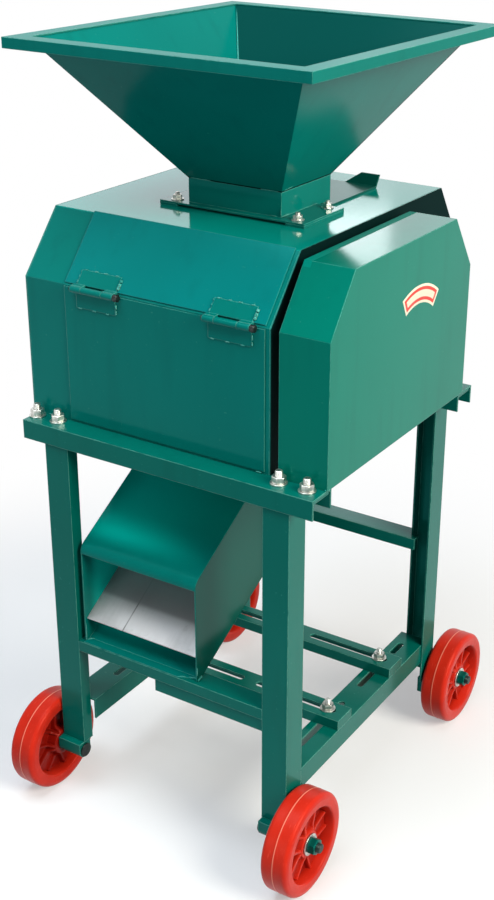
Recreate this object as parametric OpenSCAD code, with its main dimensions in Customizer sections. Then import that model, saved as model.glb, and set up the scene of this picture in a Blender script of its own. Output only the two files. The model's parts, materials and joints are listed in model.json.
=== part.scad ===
// Grain splitting machine: hopper, roller mill in a sheet casing, belt guard,
// discharge chute and wheeled stand. Millimetres, +Z up, front towards -Y,
// belt guard towards +X, origin on the floor midway between the wheels.

/* [Frame] */
// Width over the legs
frame_w = 450; // [430:5:500]
// Depth over the legs
frame_d = 515; // [500:5:560]
// Leg and rail flange width
leg_w = 45; // [40:1:50]
// Return lip of each leg
leg_lip = 22; // [15:1:28]
// Frame sheet thickness
sheet_t = 3; // [2.5:0.5:4]
// Height of the leg ends above the floor
leg_z = 101; // [98:1:110]
// Top face of the top rails
rail_top = 683; // [660:1:700]
// Depth of the top rail flanges
rail_h = 31; // [26:1:40]
// Reach of the top rails beyond the legs
rail_over = 40; // [38:1:44]
// Height of the chute cross rail
cross_z = 304; // [290:1:310]
// Height of the rear mid rail
rear_mid_z = 388; // [340:1:420]
// Top of the lower side rails
side_z = 179; // [160:1:200]
// Depth of the lower side rails
side_h = 38; // [30:1:44]

/* [Motor rails] */
// Distance of the front motor rail behind the legs' front
motor_y1 = 188; // [180:1:200]
// Distance of the rear motor rail behind the legs' front
motor_y2 = 368; // [350:1:376]
// Height of the motor rails
motor_h = 18; // [12:1:22]
// Length of each motor slot
slot_l = 156; // [140:1:165]
// Width of each motor slot
slot_w = 13; // [11:0.5:14]

/* [Wheels] */
// Wheel diameter
wheel_d = 170; // [150:1:176]
// Wheel width
wheel_w = 48; // [40:1:52]
// Wheel base
wheel_base = 543; // [540:1:560]
// Axle bolt diameter
axle_d = 16; // [12:0.5:18]
// Spokes in each wheel
spoke_n = 5; // [3:1:7]

/* [Casing] */
// Left end of the casing
case_x0 = -276; // [-280:1:-268]
// Right end of the casing
case_x1 = 170; // [166:1:172]
// Casing front behind the legs' front
case_y = 36; // [35.5:0.5:40]
// Height of the front knee
knee_z = 906; // [890:1:915]
// Top of the casing
case_z = 1000; // [985:1:1010]
// Casing sheet thickness
skin = 2; // [1.5:0.25:2.5]

/* [Mill] */
// Roller diameter
roller_d = 120; // [112:1:120]
// Roller gap at rest
nip = 1; // [0.5:0.1:2]
// Roller shaft diameter
shaft_d = 35; // [28:1:38]
// Height of the roller axes
roller_z = 800; // [795:1:806]
// Flutes round each roller
flutes = 48; // [24:4:60]
// Travel of the sliding roller
gap_travel = 4; // [1:0.5:5]
// Teeth of each gear
teeth = 22; // [18:2:26]

/* [Hopper] */
// Top of the hopper rim
hopper_z = 1262; // [1200:1:1300]
// Width of the flat rim
rim_w = 29; // [20:1:36]
// Depth of the turned down band
band_h = 16; // [10:1:24]
// Height of the neck top
neck_z = 1045; // [1038:1:1060]
// Gate travel
gate_travel = 140; // [100:5:150]

/* [View] */
// Shown node

/* [Hidden] */

$fn = 64;
eps = 0.01;
rest = 0.3;
front_y = -wheel_base / 2 - 2;
leg_x = frame_w / 2;
half_rail = leg_x + rail_over;
plate_t = 5;
leg_top = rail_top - sheet_t - plate_t;
rail_y0 = -sheet_t - 0.5;
rail_y1 = leg_w + sheet_t + 0.5;
axle_z = wheel_d / 2;
axle_y1 = 2;
axle_y2 = axle_y1 + wheel_base;
axle_c = 0.05;
spoke_turn = 26;
block_x0 = leg_x - leg_w + 1;
block_rear_x0 = leg_x - 12;
block_rear_l = 78;
block_x1 = leg_x + 2;
hub_x0 = block_x1 + 0.5;
hub_x1 = hub_x0 + wheel_w - 8;
wheel_x0 = hub_x0 + 0.5;
side_x1 = leg_x - sheet_t;
side_x0 = side_x1 - 52;
side_mid = side_x1 - 36;
motor_z = side_z + motor_h;
motor_half = side_x1;
slot_end = side_x1 - 18;
slot_bridge = 26;
slot_x2 = slot_end - slot_l;
slot_x1 = slot_x2 - slot_bridge;
slot_x0 = slot_x1 - slot_l;
side_slot_w = 11;
bolt_x = slot_end - slot_w / 2 - 9;
bolt_dy = 1;
top_y0 = case_y + 78;
top_y1 = 560;
rear_y = 625;
door_x0 = -198;
door_x1 = 161;
door_gap = 0.3;
door_y0 = case_y - door_gap - skin;
leaf_t = 1.5;
knuckle_r = 5.5;
hinge_pin_r = 3.5;
hinge_y = door_y0 - knuckle_r - 0.8;
hinge_z = knee_z - 1;
slope_a = atan((top_y0 - case_y) / (case_z - knee_z));
guard_x0 = 184;
guard_x1 = 266;
guard_y1 = frame_d - 35;
centre_d = roller_d + nip;
nip_y = 297;
roll_y1 = nip_y - centre_d / 2;
roll_y2 = nip_y + centre_d / 2;
roll_x0 = -165;
roll_x1 = 50;
bore_c = 0.05;
plate_w = 10;
bp_l = -172;
bp_r = 57;
house_t = 22;
gear_m = centre_d / teeth;
gear_x0 = -232;
gear_w = 24;
block_h = 28;
lug_y = roll_y2 + 68;
screw_r = 6;
screw_x = 11.5;
outboard_x = 140;
pulley_x0 = 225;
neck_x0 = -102;
neck_x1 = 67;
neck_y0 = 225;
neck_y1 = 370;
rim_x0 = -283;
rim_x1 = 235;
rim_y0 = 27;
rim_y1 = 615;
gate_t = 3;
guide_h = 4;
gate_x0 = neck_x0 - 14;
gate_x1 = neck_x1 + 15;
gate_y0 = 222;
gate_y1 = 496;
neck_flange_t = 3;
flange_x0 = neck_x0 - 46;
flange_x1 = neck_x1 + 48;
flange_y0 = neck_y0 - 13;
flange_y1 = neck_y0 + 105;
chute_x0 = -171;
chute_x1 = 54;
chute_top = 480;
chute_bend = 160;
chute_rear = 430;
chute_slope = 31;
bend_r = 20;
back_z = cross_z + 226;
tray_y0 = 12;
tray_z0 = 346;
tray_t = 1.5;

module at_front() {
    translate([0, front_y, 0]) children();
}

module bar(x0, x1, y0, y1, z0, z1) {
    translate([x0, y0, z0]) cube([x1 - x0, y1 - y0, z1 - z0]);
}

module rod_x(x0, x1, y, z, r) {
    translate([x0, y, z]) rotate([0, 90, 0]) cylinder(r = r, h = x1 - x0);
}

module rod_y(x, y0, y1, z, r) {
    translate([x, y0, z]) rotate([-90, 0, 0]) cylinder(r = r, h = y1 - y0);
}

module rod_z(x, y, z0, z1, r) {
    translate([x, y, z0]) cylinder(r = r, h = z1 - z0);
}

module along_x(x0, x1) {
    translate([x0, 0, 0]) rotate([90, 0, 90]) linear_extrude(x1 - x0) children();
}

module hex_x(x0, x1, y, z, af) {
    translate([x0, y, z]) rotate([0, 90, 0]) cylinder(r = af / sqrt(3), h = x1 - x0, $fn = 6);
}

module hex_z(x, y, z0, z1, af) {
    translate([x, y, z0]) rotate([0, 0, 30]) cylinder(r = af / sqrt(3), h = z1 - z0, $fn = 6);
}

// Channel leg drawn with its outer corner at the origin, towards +X and +Y
module leg_shape() {
    square([leg_w, sheet_t]);
    square([sheet_t, leg_w]);
    translate([leg_w - sheet_t, 0]) square([sheet_t, leg_lip]);
}

module leg(side, rear) {
    color([0.0, 0.36, 0.31])
    at_front()
    translate([side * leg_x, rear ? frame_d : 0, 0])
    scale([-side, rear ? -1 : 1, 1])
    translate([0, 0, leg_z]) linear_extrude(leg_top - leg_z) leg_shape();
}

module leg_front_left() { leg(-1, false); }
module leg_front_right() { leg(1, false); }
module leg_rear_left() { leg(-1, true); }
module leg_rear_right() { leg(1, true); }

function stud_front() = [9 - half_rail, 51 - half_rail, half_rail - 71, half_rail - 24];
function stud_rear() = [25 - half_rail, 60 - half_rail, half_rail - 60, half_rail - 24];

module leg_plates() {
    color([0.0, 0.36, 0.31])
    at_front()
    for (rear = [0, 1], side = [-1, 1]) {
        y0 = rear ? frame_d - leg_w + 1 : 0.5;
        xs = rear ? stud_rear() : stud_front();
        difference() {
            if (side < 0) bar(-half_rail + 2, -leg_x + leg_w + 2, y0, y0 + leg_w - 1.5,
                leg_top, leg_top + plate_t);
            else bar(leg_x - leg_w - 4, half_rail - 2, y0, y0 + leg_w - 1.5,
                leg_top, leg_top + plate_t);
            for (x = xs) rod_z(x, rear ? frame_d - 21 : 21, leg_top - 1, rail_top, 6);
        }
    }
}

module top_rail(y0, studs, ys) {
    w = rail_y1 - rail_y0;
    difference() {
        union() {
            bar(-half_rail, half_rail, y0, y0 + w, rail_top - sheet_t, rail_top);
            bar(-half_rail, half_rail, y0, y0 + sheet_t, rail_top - rail_h, rail_top);
            bar(-half_rail, half_rail, y0 + w - sheet_t, y0 + w, rail_top - rail_h, rail_top);
        }
        for (x = studs) rod_z(x, ys, rail_top - 9, rail_top + 1, 6.5);
    }
}

module top_rail_front() {
    color([0.0, 0.42, 0.36])
    at_front() top_rail(rail_y0, stud_front(), 21);
}

module top_rail_rear() {
    color([0.0, 0.42, 0.36])
    at_front() top_rail(frame_d - rail_y1, stud_rear(), frame_d - 21);
}

module frame_stud(x, y) {
    rod_z(x, y, leg_top, rail_top + 21, 6);
    difference() {
        union() {
            rod_z(x, y, rail_top, rail_top + 2.5, 13);
            hex_z(x, y, rail_top + 2.5, rail_top + 12.5, 19);
        }
        rod_z(x, y, rail_top - 1, rail_top + 14, 6 - eps);
    }
}

module frame_bolts() {
    color([0.75, 0.75, 0.72])
    at_front() {
        for (x = stud_front()) frame_stud(x, 21);
        for (x = stud_rear()) frame_stud(x, frame_d - 21);
    }
}

module slot_cut_y(x, y0, y1, z0, z1) {
    r = side_slot_w / 2;
    rod_z(x, y0 + r, z0, z1, r);
    rod_z(x, y1 - r, z0, z1, r);
    bar(x - r, x + r, y0 + r, y1 - r, z0, z1);
}

module slot_cut_x(x0, x1, y, z0, z1) {
    rod_z(x0 + slot_w / 2, y, z0, z1, slot_w / 2);
    rod_z(x1 - slot_w / 2, y, z0, z1, slot_w / 2);
    bar(x0 + slot_w / 2, x1 - slot_w / 2, y - slot_w / 2, y + slot_w / 2, z0, z1);
}

// Side rail slots, behind the legs' front
function side_slots() = [[motor_y1 - 90, motor_y1 + 54], [motor_y2 - 72, motor_y2 + 32],
    [frame_d - 97, frame_d - 57]];

module side_rail(side) {
    y0 = leg_lip;
    y1 = frame_d - leg_lip;
    color([0.0, 0.45, 0.38])
    at_front()
    scale([side, 1, 1])
    difference() {
        union() {
            bar(side_x0, side_x1, y0, y1, side_z - sheet_t, side_z);
            bar(side_x0, side_x0 + sheet_t, y0, y1, side_z - side_h, side_z);
            bar(side_x1 - sheet_t, side_x1, y0, y1, side_z - side_h, side_z);
        }
        for (s = side_slots()) slot_cut_y(bolt_x, s[0], s[1], side_z - sheet_t - 1, side_z + 1);
    }
}

module side_rail_left() { side_rail(-1); }
module side_rail_right() { side_rail(1); }

module cross_rail_front() {
    w = leg_x - leg_w;
    h = 19;
    d = 36;
    color([0.0, 0.4, 0.34])
    at_front() {
        bar(-w, w, 0, d, cross_z - sheet_t, cross_z);
        bar(-w, w, 0, sheet_t, cross_z - h, cross_z);
        bar(-w, w, d - sheet_t, d, cross_z - h, cross_z);
        bar(-26, w, sheet_t, 2 * sheet_t, cross_z - 42, cross_z);
    }
}

module mid_rail_rear() {
    w = leg_x - leg_w;
    end = w + 16;
    h = 21;
    y0 = frame_d - 42;
    y1 = frame_d - 4;
    color([0.0, 0.4, 0.34])
    at_front() {
        bar(-w, w, y0, y1, rear_mid_z - sheet_t, rear_mid_z);
        bar(-w, w, y1 - sheet_t, y1, rear_mid_z - h, rear_mid_z);
        bar(-end, end, y0, y0 + sheet_t, rear_mid_z - h, rear_mid_z);
        bar(-end, end, y0, frame_d - leg_lip - 1, rear_mid_z - sheet_t, rear_mid_z);
    }
}

module motor_rail(y) {
    w = 45;
    color([0.0, 0.5, 0.44])
    at_front()
    difference() {
        union() {
            bar(-motor_half, motor_half, y - w / 2, y + w / 2, motor_z - sheet_t, motor_z);
            bar(-motor_half, motor_half, y - w / 2, y - w / 2 + sheet_t, side_z, motor_z);
            bar(-motor_half, motor_half, y + w / 2 - sheet_t, y + w / 2, side_z, motor_z);
            for (x = [-motor_half, motor_half - sheet_t])
                bar(x, x + sheet_t, y - w / 2, y + w / 2, side_z, motor_z);
        }
        slot_cut_x(slot_x0, slot_x1, y, motor_z - sheet_t - 1, motor_z + 1);
        slot_cut_x(slot_x2, slot_end, y, motor_z - sheet_t - 1, motor_z + 1);
        rod_z(-bolt_x, y + bolt_dy, motor_z - sheet_t - 1, motor_z + 1, side_slot_w / 2);
    }
}

module motor_rail_front() { motor_rail(motor_y1); }
module motor_rail_rear() { motor_rail(motor_y2); }

module motor_rail_bolts() {
    color([0.75, 0.75, 0.72])
    at_front()
    for (y = [motor_y1 + bolt_dy, motor_y2 + bolt_dy], s = [-1, 1]) {
        x = s * bolt_x;
        rod_z(x, y, side_z - sheet_t - 9, motor_z + 19, 5);
        hex_z(x, y, side_z - sheet_t - 9, side_z - sheet_t - 2, 17);
        rod_z(x, y, side_z - sheet_t - 2, side_z - sheet_t, 11);
        rod_z(x, y, motor_z, motor_z + 2, 13);
        hex_z(x, y, motor_z + 2, motor_z + 11, 17);
    }
}

module each_axle() {
    for (rear = [false, true], s = [-1, 1]) {
        $rear = rear;
        scale([s, 1, 1]) translate([0, rear ? axle_y2 : axle_y1, axle_z]) children();
    }
}

module axle_blocks() {
    hh = leg_z - axle_z;
    color([0.0, 0.34, 0.3])
    at_front() each_axle()
    difference() {
        if ($rear) union() {
            bar(block_rear_x0, block_x1, 15 - block_rear_l, 0, -14, hh);
            bar(block_rear_x0, block_x1, -eps, 14, 0, hh);
            rod_x(block_rear_x0, block_x1, 0, 0, 14);
        } else union() {
            bar(block_x0, block_x1, -14, 14, 0, hh);
            rod_x(block_x0, block_x1, 0, 0, 14);
        }
        rod_x(block_x0 - 1, block_x1 + 1, 0, 0, axle_d / 2);
    }
}

module axle_bolts() {
    color([0.2, 0.22, 0.22])
    at_front() each_axle() {
        x0 = $rear ? block_rear_x0 : block_x0;
        rod_x(x0 - 3, x0, 0, 0, 12);
        rod_x(x0 - eps, hub_x1 + 22, 0, 0, axle_d / 2);
    }
}

module axle_nuts() {
    color([0.55, 0.6, 0.58])
    at_front() each_axle()
    difference() {
        union() {
            rod_x(hub_x1 + rest, hub_x1 + rest + 2.5, 0, 0, 18);
            hex_x(hub_x1 + rest + 2.5, hub_x1 + rest + 15, 0, 0, 24);
        }
        rod_x(hub_x1, hub_x1 + 20, 0, 0, axle_d / 2);
    }
}

// Half section of the rim, hub and web, radius along X and width along Y
module wheel_profile() {
    r = wheel_d / 2;
    h = wheel_w / 2;
    c = wheel_x0 + h;
    polygon([[r - 3, -h], [r - 0.8, -h + 5], [r, -1], [r, 1], [r - 0.8, h - 5], [r - 3, h],
        [r - 20, h], [r - 26, h - 16], [r - 26, 4], [23, 4], [23, hub_x1 - c],
        [axle_d / 2 + axle_c, hub_x1 - c], [axle_d / 2 + axle_c, hub_x0 - c], [23, hub_x0 - c],
        [23, -4], [r - 26, -4], [r - 26, -h + 16], [r - 20, -h]]);
}

module wheel(side, rear) {
    h = wheel_w / 2;
    color([1.0, 0.2, 0.12])
    at_front()
    translate([0, rear ? axle_y2 : axle_y1, axle_z])
    scale([side, 1, 1])
    translate([wheel_x0 + h, 0, 0]) rotate([0, 90, 0]) {
        rotate_extrude($fn = 96) wheel_profile();
        for (i = [0 : spoke_n - 1], k = [-1, 1])
            rotate([0, 0, i * 360 / spoke_n + spoke_turn + k * 11])
                translate([20, -2.5, -12]) cube([wheel_d / 2 - 26 - 18, 5, 24]);
    }
}

module wheel_front_left() { wheel(-1, false); }
module wheel_front_right() { wheel(1, false); }
module wheel_rear_left() { wheel(-1, true); }
module wheel_rear_right() { wheel(1, true); }

// Side outline of the casing: depth along X, height along Y
module case_shape() {
    polygon([[case_y, rail_top], [case_y, knee_z], [top_y0, case_z], [top_y1, case_z],
        [rear_y, knee_z], [rear_y, rail_top]]);
}

module case_ring() {
    difference() {
        case_shape();
        offset(delta = -skin) case_shape();
        translate([case_y + skin, rail_top - 1])
            square([rear_y - case_y - 2 * skin, skin + 2]);
    }
}

module casing_side_left() {
    color([0.0, 0.45, 0.38])
    at_front() along_x(case_x0, case_x0 + skin) case_shape();
}

module casing_side_right() {
    color([0.0, 0.45, 0.38])
    at_front()
    difference() {
        along_x(case_x1 - skin, case_x1) case_shape();
        rod_x(case_x1 - 10, case_x1 + 10, roll_y1, roller_z, shaft_d / 2 + 6);
    }
}

module casing_cover() {
    color([0.0, 0.45, 0.4])
    at_front()
    difference() {
        along_x(case_x0 + skin, case_x1 - skin)
        intersection() {
            case_ring();
            translate([0, rail_top]) square([top_y1, case_z - rail_top + 1]);
        }
        bar(door_x0 + 14, door_x1 - 14, case_y - 1, case_y + skin + 1, rail_top + 20, knee_z - 18);
        bar(neck_x0 + 4, neck_x1 - 4, neck_y0 + 4, neck_y1 - 4, case_z - 5, case_z + 1);
        for (b = neck_bolt_spots()) rod_z(b[0], b[1], case_z - 5, case_z + 1, 4);
    }
}

module casing_rear() {
    color([0.0, 0.42, 0.36])
    at_front()
    along_x(case_x0 + skin, case_x1 - skin)
    union() {
        intersection() {
            case_ring();
            translate([top_y1, rail_top]) square([200, case_z - rail_top + 1]);
        }
        translate([frame_d + sheet_t + 1, rail_top]) square([rear_y - frame_d - sheet_t - 1 - eps, skin]);
    }
}

// Frame lying on the sloped casing face: x along X, z up the slope, y inward
module on_slope() {
    translate([0, case_y, knee_z]) rotate([-slope_a, 0, 0]) children();
}

slope_len = sqrt(pow(top_y0 - case_y, 2) + pow(case_z - knee_z, 2));

module slope_panel() {
    color([0.0, 0.5, 0.48])
    at_front() on_slope()
    bar(door_x0, door_x1, -skin, 0, skin + 1.5, slope_len + 1.5);
}

// Left ends of the two hinges and their knuckle lengths
function hinge_xs() = [-178, 62];
hinge_l = 80;
hinge_cut = [0, 20, 59, 80];

module knuckle(x, k) {
    difference() {
        rod_x(x + hinge_cut[k] + 0.2, x + hinge_cut[k + 1] - 0.2, hinge_y, hinge_z, knuckle_r);
        rod_x(x - 1, x + hinge_l + 1, hinge_y, hinge_z, hinge_pin_r + bore_c);
    }
}

module hinge_leaves_fixed() {
    color([0.0, 0.5, 0.47])
    at_front()
    for (x = hinge_xs()) {
        difference() {
            union() {
                on_slope() bar(x + 4, x + hinge_l - 2, -skin - leaf_t, -skin, 3, 28);
                for (k = [0, 2])
                    bar(x + hinge_cut[k] + 0.2, x + hinge_cut[k + 1] - 0.2,
                        hinge_y, case_y + 0.2, hinge_z + 2.2, hinge_z + knuckle_r + 0.7);
                for (k = [0, 2])
                    rod_x(x + hinge_cut[k] + 0.2, x + hinge_cut[k + 1] - 0.2, hinge_y, hinge_z, knuckle_r);
            }
            rod_x(x - 1, x + hinge_l + 1, hinge_y, hinge_z, hinge_pin_r + bore_c);
        }
    }
}

module hinge_leaves_door() {
    color([0.0, 0.48, 0.44])
    at_front()
    for (x = hinge_xs())
        difference() {
            union() {
                bar(x + 4, x + hinge_l - 2, door_y0 - leaf_t, door_y0, hinge_z - 30, hinge_z - knuckle_r - 1);
                bar(x + hinge_cut[1] + 0.4, x + hinge_cut[2] - 0.4,
                    door_y0 - leaf_t, door_y0, hinge_z - knuckle_r - 2, hinge_z);
                rod_x(x + hinge_cut[1] + 0.4, x + hinge_cut[2] - 0.4, hinge_y, hinge_z, knuckle_r);
            }
            rod_x(x - 1, x + hinge_l + 1, hinge_y, hinge_z, hinge_pin_r + bore_c);
        }
}

module hinge_pins() {
    color([0.05, 0.2, 0.18])
    at_front()
    for (x = hinge_xs()) {
        rod_x(x - 3, x + hinge_l + 1, hinge_y, hinge_z, hinge_pin_r);
        rod_x(x + hinge_l, x + hinge_l + 8, hinge_y, hinge_z, knuckle_r + 0.6);
    }
}

module front_door() {
    color([0.0, 0.42, 0.38])
    at_front()
    bar(door_x0, door_x1, door_y0, door_y0 + skin, rail_top + 4, hinge_z - 0.5);
}

module guard_shape() {
    polygon([[case_y - 1, rail_top], [case_y - 1, knee_z - 1], [case_y + 63, case_z - 7],
        [guard_y1 - 62, case_z - 7], [guard_y1, knee_z - 1], [guard_y1, rail_top]]);
}

module belt_guard() {
    color([0.0, 0.55, 0.47])
    at_front() {
        along_x(guard_x1 - skin, guard_x1) guard_shape();
        along_x(guard_x0, guard_x1 - skin)
        difference() {
            guard_shape();
            offset(delta = -skin) guard_shape();
            translate([case_y - 1 + skin, rail_top - 1])
                square([guard_y1 + 1 - case_y - 2 * skin, skin + 2]);
        }
    }
}

// Angle bar whose upright leg stands against a bearing plate's face at x, towards d
module bearer(x, d, w) {
    y0 = case_y + skin + 1;
    y1 = frame_d - 21 - 15;
    bar(d < 0 ? x - w : x, d < 0 ? x : x + w, y0, y1, rail_top, rail_top + 6);
    bar(d < 0 ? x - 6 : x, d < 0 ? x : x + 6, y0, y1, rail_top, rail_top + 48);
}

module mill_bearers() {
    color([0.25, 0.3, 0.3])
    at_front() {
        bearer(bp_l - plate_w, -1, 50);
        bearer(bp_r + plate_w, 1, 30);
        bearer(outboard_x, -1, 40);
    }
}

module bearing_plate(x) {
    difference() {
        along_x(x, x + plate_w)
            polygon([[roll_y1 - 86, rail_top], [roll_y1 - 86, roller_z + 40], [roll_y1 - 46, roller_z + 90],
                [roll_y2 + 40, roller_z + 90], [lug_y + 15, roller_z + 50], [lug_y + 15, rail_top]]);
        rod_x(x - 1, x + plate_w + 1, roll_y1, roller_z, shaft_d / 2 + 3);
        bar(x - 1, x + plate_w + 1, roll_y2 - block_h - rest, roll_y2 + block_h + gap_travel + 1,
            roller_z - block_h - rest, roller_z + block_h + rest);
    }
}

module bearing_plate_left() {
    color([0.3, 0.34, 0.34])
    at_front() bearing_plate(bp_l - plate_w);
}

module bearing_plate_right() {
    color([0.3, 0.34, 0.34])
    at_front() bearing_plate(bp_r);
}

module outboard_plate() {
    color([0.3, 0.34, 0.34])
    at_front()
    difference() {
        along_x(outboard_x, outboard_x + 8)
            polygon([[roll_y1 - 70, rail_top], [roll_y1 - 45, roller_z + 55], [roll_y1 + 45, roller_z + 55],
                [roll_y1 + 70, rail_top]]);
        rod_x(outboard_x - 1, outboard_x + 9, roll_y1, roller_z, shaft_d / 2 + 3);
    }
}

module flange_bearing(x, d) {
    difference() {
        union() {
            bar(d < 0 ? x - 10 : x, d < 0 ? x : x + 10, roll_y1 - 44, roll_y1 + 44,
                roller_z - 44, roller_z + 44);
            rod_x(d < 0 ? x - house_t : x, d < 0 ? x : x + house_t, roll_y1, roller_z, 32);
        }
        rod_x(x - 40, x + 40, roll_y1, roller_z, shaft_d / 2 + bore_c);
    }
}

module fixed_bearings() {
    color([0.2, 0.36, 0.5])
    at_front() {
        flange_bearing(bp_l - plate_w, -1);
        flange_bearing(bp_r + plate_w, 1);
        flange_bearing(outboard_x, -1);
    }
}

module slide_block(x0, x1) {
    difference() {
        bar(x0, x1, roll_y2 - block_h, roll_y2 + block_h, roller_z - block_h, roller_z + block_h);
        rod_x(x0 - 1, x1 + 1, roll_y2, roller_z, shaft_d / 2 + bore_c);
    }
}

module slide_bearings() {
    color([0.2, 0.36, 0.5])
    at_front() {
        slide_block(bp_l - plate_w - house_t, bp_l - rest);
        slide_block(bp_r + rest, bp_r + plate_w + house_t);
    }
}

// Centre lines of the two gap screws
function screw_xs() = [bp_l - plate_w - screw_x, bp_r + plate_w + screw_x];

module gap_screws() {
    color([0.7, 0.7, 0.68])
    at_front()
    for (x = screw_xs()) rod_y(x, roll_y2 + block_h, lug_y + 42, roller_z, screw_r);
}

module gap_springs() {
    n = 5;
    y0 = roll_y2 + block_h;
    p = (lug_y - y0 - gap_travel - 1.5) / n;
    color([0.25, 0.25, 0.27])
    at_front()
    for (x = screw_xs())
        translate([x, y0, roller_z]) rotate([-90, 0, 0]) rotate_extrude()
            polygon(concat(
                [for (i = [0 : 2 * n]) [i % 2 == 0 ? 8 : screw_r, i * p / 2]],
                [for (i = [2 * n : -1 : 0]) [i % 2 == 0 ? 10.5 : 9, i * p / 2]]));
}

module gap_nuts() {
    color([0.7, 0.7, 0.68])
    at_front()
    for (x = screw_xs())
        difference() {
            union() {
                rod_y(x, lug_y + 15 + rest, lug_y + 18, roller_z, 12);
                translate([x, lug_y + 18, roller_z]) rotate([-90, 0, 0]) cylinder(r = 13, h = 14, $fn = 6);
            }
            rod_y(x, lug_y, lug_y + 60, roller_z, screw_r);
        }
}

module screw_lugs() {
    color([0.3, 0.34, 0.34])
    at_front()
    for (i = [0, 1]) {
        x0 = i == 0 ? bp_l - plate_w - 23 : bp_r + plate_w;
        difference() {
            bar(x0, x0 + 23, lug_y, lug_y + 15, roller_z - 20, roller_z + 20);
            rod_y(screw_xs()[i], lug_y - 1, lug_y + 16, roller_z, screw_r + bore_c);
        }
    }
}

module fluted(x0, x1) {
    r = roller_d / 2;
    translate([x0, 0, 0]) rotate([0, 90, 0]) linear_extrude(x1 - x0)
        polygon([for (i = [0 : 2 * flutes - 1])
            let (a = i * 180 / flutes, q = i % 2 == 0 ? r : r - 2) [q * cos(a), q * sin(a)]]);
}

module drive_roller() {
    color([0.45, 0.45, 0.47])
    at_front() translate([0, roll_y1, roller_z]) {
        fluted(roll_x0, roll_x1);
        rod_x(gear_x0 - 6, pulley_x0 + 36, 0, 0, shaft_d / 2);
    }
}

module driven_roller() {
    color([0.45, 0.45, 0.47])
    at_front() translate([0, roll_y2, roller_z]) {
        fluted(roll_x0, roll_x1);
        rod_x(gear_x0 - 6, bp_r + plate_w + house_t + 2, 0, 0, shaft_d / 2);
    }
}

// Spur gear drawn with a tooth on +Y
module gear_shape() {
    rp = centre_d / 2;
    ro = rp + 0.85 * gear_m;
    rr = rp - 1.2 * gear_m;
    a = 360 / teeth;
    polygon([for (i = [0 : teeth - 1], k = [-0.34, -0.215, -0.1, 0.1, 0.215, 0.34])
        let (q = abs(k) > 0.3 ? rr : abs(k) > 0.2 ? rp : ro, t = 90 + (i + k) * a)
        [q * cos(t), q * sin(t)]]);
}

module gear(turn) {
    rotate([90, 0, 90]) linear_extrude(gear_w) rotate([0, 0, turn])
    difference() {
        gear_shape();
        circle(r = shaft_d / 2);
    }
}

module drive_gear() {
    color([0.4, 0.42, 0.43])
    at_front() translate([gear_x0, roll_y1, roller_z]) gear(-90);
}

module driven_gear() {
    color([0.4, 0.42, 0.43])
    at_front() translate([gear_x0, roll_y2, roller_z]) gear(-90 + 180 / teeth);
}

// Two groove pulley with five openings in its web
module drive_pulley() {
    r = 95;
    color([0.3, 0.32, 0.33])
    at_front() translate([pulley_x0, roll_y1, roller_z]) rotate([0, 90, 0])
    difference() {
        rotate_extrude($fn = 96)
            polygon([[shaft_d / 2, 0], [32, 0], [32, 11], [r - 22, 11], [r - 22, 0], [r, 0], [r, 2],
                [r - 12, 6], [r - 12, 11], [r, 15], [r, 19], [r - 12, 23], [r - 12, 28], [r, 32],
                [r, 34], [r - 22, 34], [r - 22, 23], [32, 23], [32, 34], [shaft_d / 2, 34]]);
        for (i = [0 : 4]) rotate([0, 0, i * 72]) translate([52, 0, 5]) cylinder(r = 14, h = 25);
    }
}

module scrapers() {
    color([0.5, 0.5, 0.52])
    at_front()
    for (s = [-1, 1]) {
        c = s < 0 ? roll_y1 : roll_y2;
        tip = roller_z - roller_d / 2 - 0.8;
        along_x(bp_l, bp_r)
            polygon([[c, tip], [c + s * 30, tip - 26], [c + s * 42, tip - 26],
                [c + s * 42, tip - 30], [c + s * 28, tip - 30], [c - s * 1, tip - 4]]);
    }
}

module feed_throat() {
    z0 = roller_z + roller_d / 2 + 4;
    z1 = case_z - skin;
    t = 2;
    x0 = neck_x0 + 4;
    x1 = neck_x1 - 4;
    low_x1 = roll_x1 - 2;
    color([0.0, 0.4, 0.36])
    at_front()
    difference() {
        hull() {
            bar(x0 - t, x1 + t, neck_y0 + 4 - t, neck_y1 - 4 + t, z1 - 1, z1);
            bar(x0 - t, low_x1 + t, nip_y - 26 - t, nip_y + 26 + t, z0, z0 + 1);
        }
        hull() {
            bar(x0, x1, neck_y0 + 4, neck_y1 - 4, z1 - 1, z1 + 0.1);
            bar(x0, low_x1, nip_y - 26, nip_y + 26, z0 - 0.1, z0 + 1);
        }
    }
}

module hopper() {
    t = skin;
    x0 = rim_x0 + rim_w;
    x1 = rim_x1 - rim_w;
    y0 = rim_y0 + rim_w;
    y1 = rim_y1 - rim_w;
    z1 = hopper_z - t;
    color([0.0, 0.42, 0.37])
    at_front()
    difference() {
        hull() {
            bar(x0 - t, x1 + t, y0 - t, y1 + t, z1 - 1, z1);
            bar(neck_x0, neck_x1, neck_y0, neck_y1, neck_z, neck_z + 1);
        }
        hull() {
            bar(x0, x1, y0, y1, z1 - 1, z1 + 0.1);
            bar(neck_x0 + t, neck_x1 - t, neck_y0 + t, neck_y1 - t, neck_z - 0.1, neck_z + 1);
        }
    }
}

module hopper_rim() {
    t = skin;
    color([0.0, 0.5, 0.43])
    at_front() {
        difference() {
            bar(rim_x0, rim_x1, rim_y0, rim_y1, hopper_z - t, hopper_z);
            bar(rim_x0 + rim_w, rim_x1 - rim_w, rim_y0 + rim_w, rim_y1 - rim_w,
                hopper_z - 3 * t, hopper_z + 1);
        }
        difference() {
            bar(rim_x0, rim_x1, rim_y0, rim_y1, hopper_z - band_h, hopper_z - t);
            bar(rim_x0 + t, rim_x1 - t, rim_y0 + t, rim_y1 - t, hopper_z - band_h - 1, hopper_z);
        }
    }
}

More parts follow.
